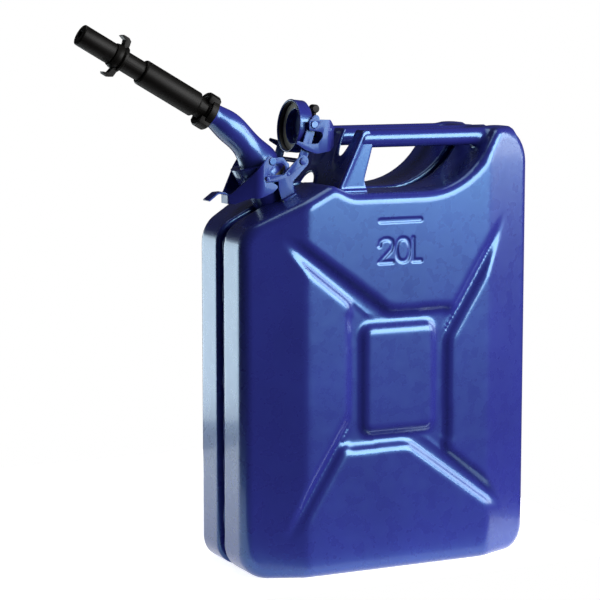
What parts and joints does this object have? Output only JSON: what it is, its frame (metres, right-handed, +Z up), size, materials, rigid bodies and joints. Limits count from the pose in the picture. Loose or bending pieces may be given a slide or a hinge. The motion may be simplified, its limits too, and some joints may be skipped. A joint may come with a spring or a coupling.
{
  "type": "safety gas can",
  "caption": "Upright pressed-steel fuel can with triple handle bars, a lever cap that is swung open and a clamped pouring spout with a push-back valve nozzle.",
  "frame": {"origin": "on the base plane, under the centre of the can's body (the spout reaches past it on the -X side)", "axes": "+X towards the can's back hump, -X towards the neck and spout, +Z up, -Y out of the front pressed face"},
  "size_m": [0.5034, 0.165, 0.5799],
  "materials": {
    "blue_enamel": "gloss",
    "olive_rubber": "matte",
    "black_rubber": "matte",
    "black_steel": "satin",
    "black_plastic": "satin",
    "bright_steel": "satin"
  },
  "bodies": {
    "can": {"front_shell": "blue_enamel", "rear_shell": "blue_enamel", "seam_flange": "blue_enamel", "filler_neck": "blue_enamel", "breather_tube": "blue_enamel", "neck_bracket": "blue_enamel", "lock_pins": "blue_enamel", "cap_hinge_pin": "blue_enamel", "handle_front": "blue_enamel", "handle_middle": "blue_enamel", "handle_rear": "blue_enamel", "handle_bracket": "blue_enamel", "spout_collar": "blue_enamel", "spout_gasket": "black_rubber", "spout_tube": "blue_enamel", "spout_hooks": "blue_enamel", "spout_lever_rivets": "blue_enamel", "nozzle_body": "black_plastic", "nozzle_core": "black_plastic", "nozzle_tip": "black_plastic", "valve_spring": "bright_steel", "vent_tube": "black_plastic"},
    "cap": {"cap_shell": "blue_enamel", "cap_gasket": "olive_rubber", "gasket_retainer": "blue_enamel", "cap_bridge": "blue_enamel", "cap_lever_rivets": "blue_enamel"},
    "cap_lever": {"cap_lever": "blue_enamel"},
    "safety_catch": {"safety_catch": "black_steel"},
    "spout_lever": {"spout_lever": "blue_enamel"},
    "lock_ring": {"lock_ring": "black_plastic"},
    "valve_slide": {"hook_collar": "black_plastic", "valve_cross_pin": "bright_steel", "valve_stem": "bright_steel", "valve_o_ring": "black_rubber"}
  },
  "joints": [
    {"name": "cap_swing", "type": "hinge", "parent": "can", "child": "cap", "pos_m": [-0.0906, 0, 0.4374], "axis": [0, 1, 0], "range_deg": [-35, 3]},
    {"name": "cap_lever_turn", "type": "hinge", "parent": "cap", "child": "cap_lever", "pos_m": [-0.0785, 0, 0.4758], "axis": [0, 1, 0], "range_deg": [-20, 12]},
    {"name": "catch_slide", "type": "slide", "parent": "cap_lever", "child": "safety_catch", "axis": [0, 0, -1], "range_m": [0, 0.004], "stiffness_N_per_m": 150, "springref_m": -0.002},
    {"name": "spout_lever_turn", "type": "hinge", "parent": "can", "child": "spout_lever", "pos_m": [-0.127, 0, 0.4386], "axis": [0, 1, 0], "range_deg": [0, 45]},
    {"name": "ring_twist", "type": "hinge", "parent": "can", "child": "lock_ring", "pos_m": [-0.182, 0, 0.4876], "axis": [-0.866, 0, 0.5], "range_deg": [-30, 30]},
    {"name": "valve_push", "type": "slide", "parent": "can", "child": "valve_slide", "axis": [0.866, 0, -0.5], "range_m": [0, 0.012], "stiffness_N_per_m": 300, "springref_m": -0.01}
  ]
}
